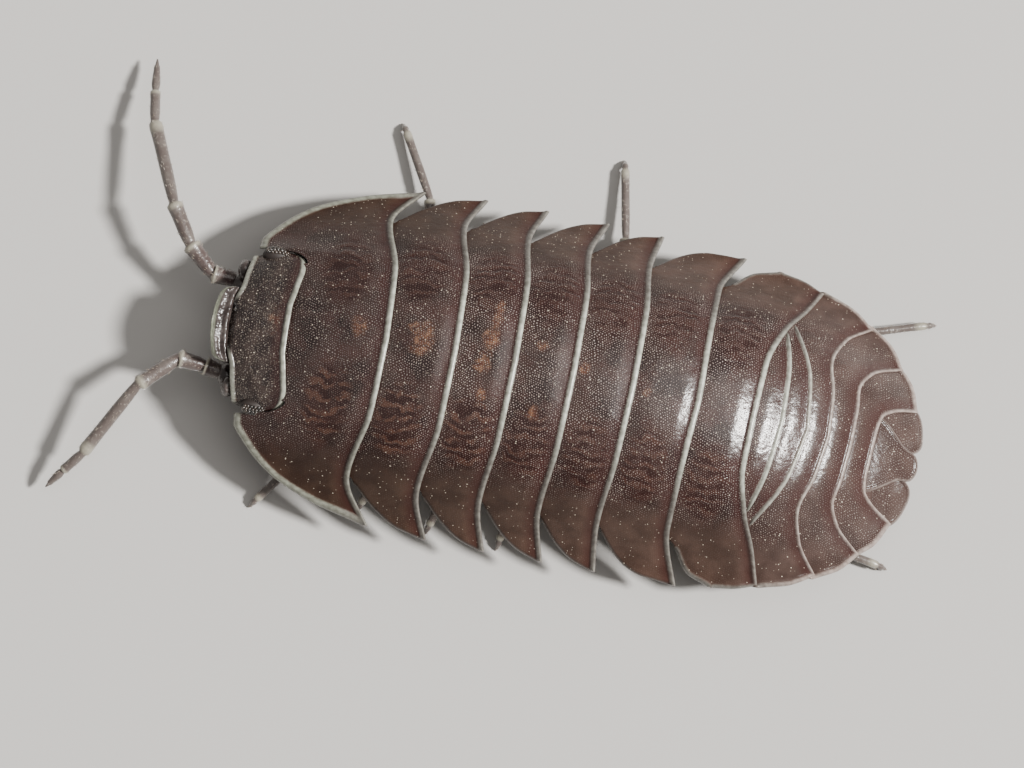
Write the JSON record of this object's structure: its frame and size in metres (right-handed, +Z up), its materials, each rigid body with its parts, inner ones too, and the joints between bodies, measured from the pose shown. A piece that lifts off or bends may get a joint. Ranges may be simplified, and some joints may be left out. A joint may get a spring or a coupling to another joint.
{
  "type": "pill woodlouse model",
  "caption": "Still, life-size museum model of a pill woodlouse standing on its legs, its domed back of lapping plates and flared side plates, feelers held forward.",
  "frame": {"origin": "on the floor, under the middle of the whole animal's box, feelers and legs included", "axes": "+Z up; the head faces -X and the tail +X; the animal's right side is +Y"},
  "size_m": [0.0216, 0.0114, 0.0046],
  "materials": {
    "plate_cuticle": "semi-gloss dark brown-grey shell with fine pale grains and pale raised edges",
    "limb_cuticle": "semi-gloss, slightly clear pale grey-brown",
    "eye_facets": "glossy black",
    "gill_flap": "satin off-white membrane"
  },
  "bodies": {
    "root": {"head": "plate_cuticle", "eye_right": "eye_facets", "eye_left": "eye_facets", "antenna_right": "limb_cuticle", "antenna_left": "limb_cuticle", "mouthparts": "limb_cuticle", "pereonite_1": "plate_cuticle", "pereonite_2": "plate_cuticle", "pereonite_3": "plate_cuticle", "pereonite_4": "plate_cuticle", "pereonite_5": "plate_cuticle", "pereonite_6": "plate_cuticle", "pereonite_7": "plate_cuticle", "pleon": "plate_cuticle", "telson": "plate_cuticle", "uropod_right": "plate_cuticle", "uropod_left": "plate_cuticle", "pleopods": "gill_flap", "leg_right_1": "limb_cuticle", "leg_right_2": "limb_cuticle", "leg_right_3": "limb_cuticle", "leg_right_4": "limb_cuticle", "leg_right_5": "limb_cuticle", "leg_right_6": "limb_cuticle", "leg_right_7": "limb_cuticle", "leg_left_1": "limb_cuticle", "leg_left_2": "limb_cuticle", "leg_left_3": "limb_cuticle", "leg_left_4": "limb_cuticle", "leg_left_5": "limb_cuticle", "leg_left_6": "limb_cuticle", "leg_left_7": "limb_cuticle"}
  },
  "joints": []
}
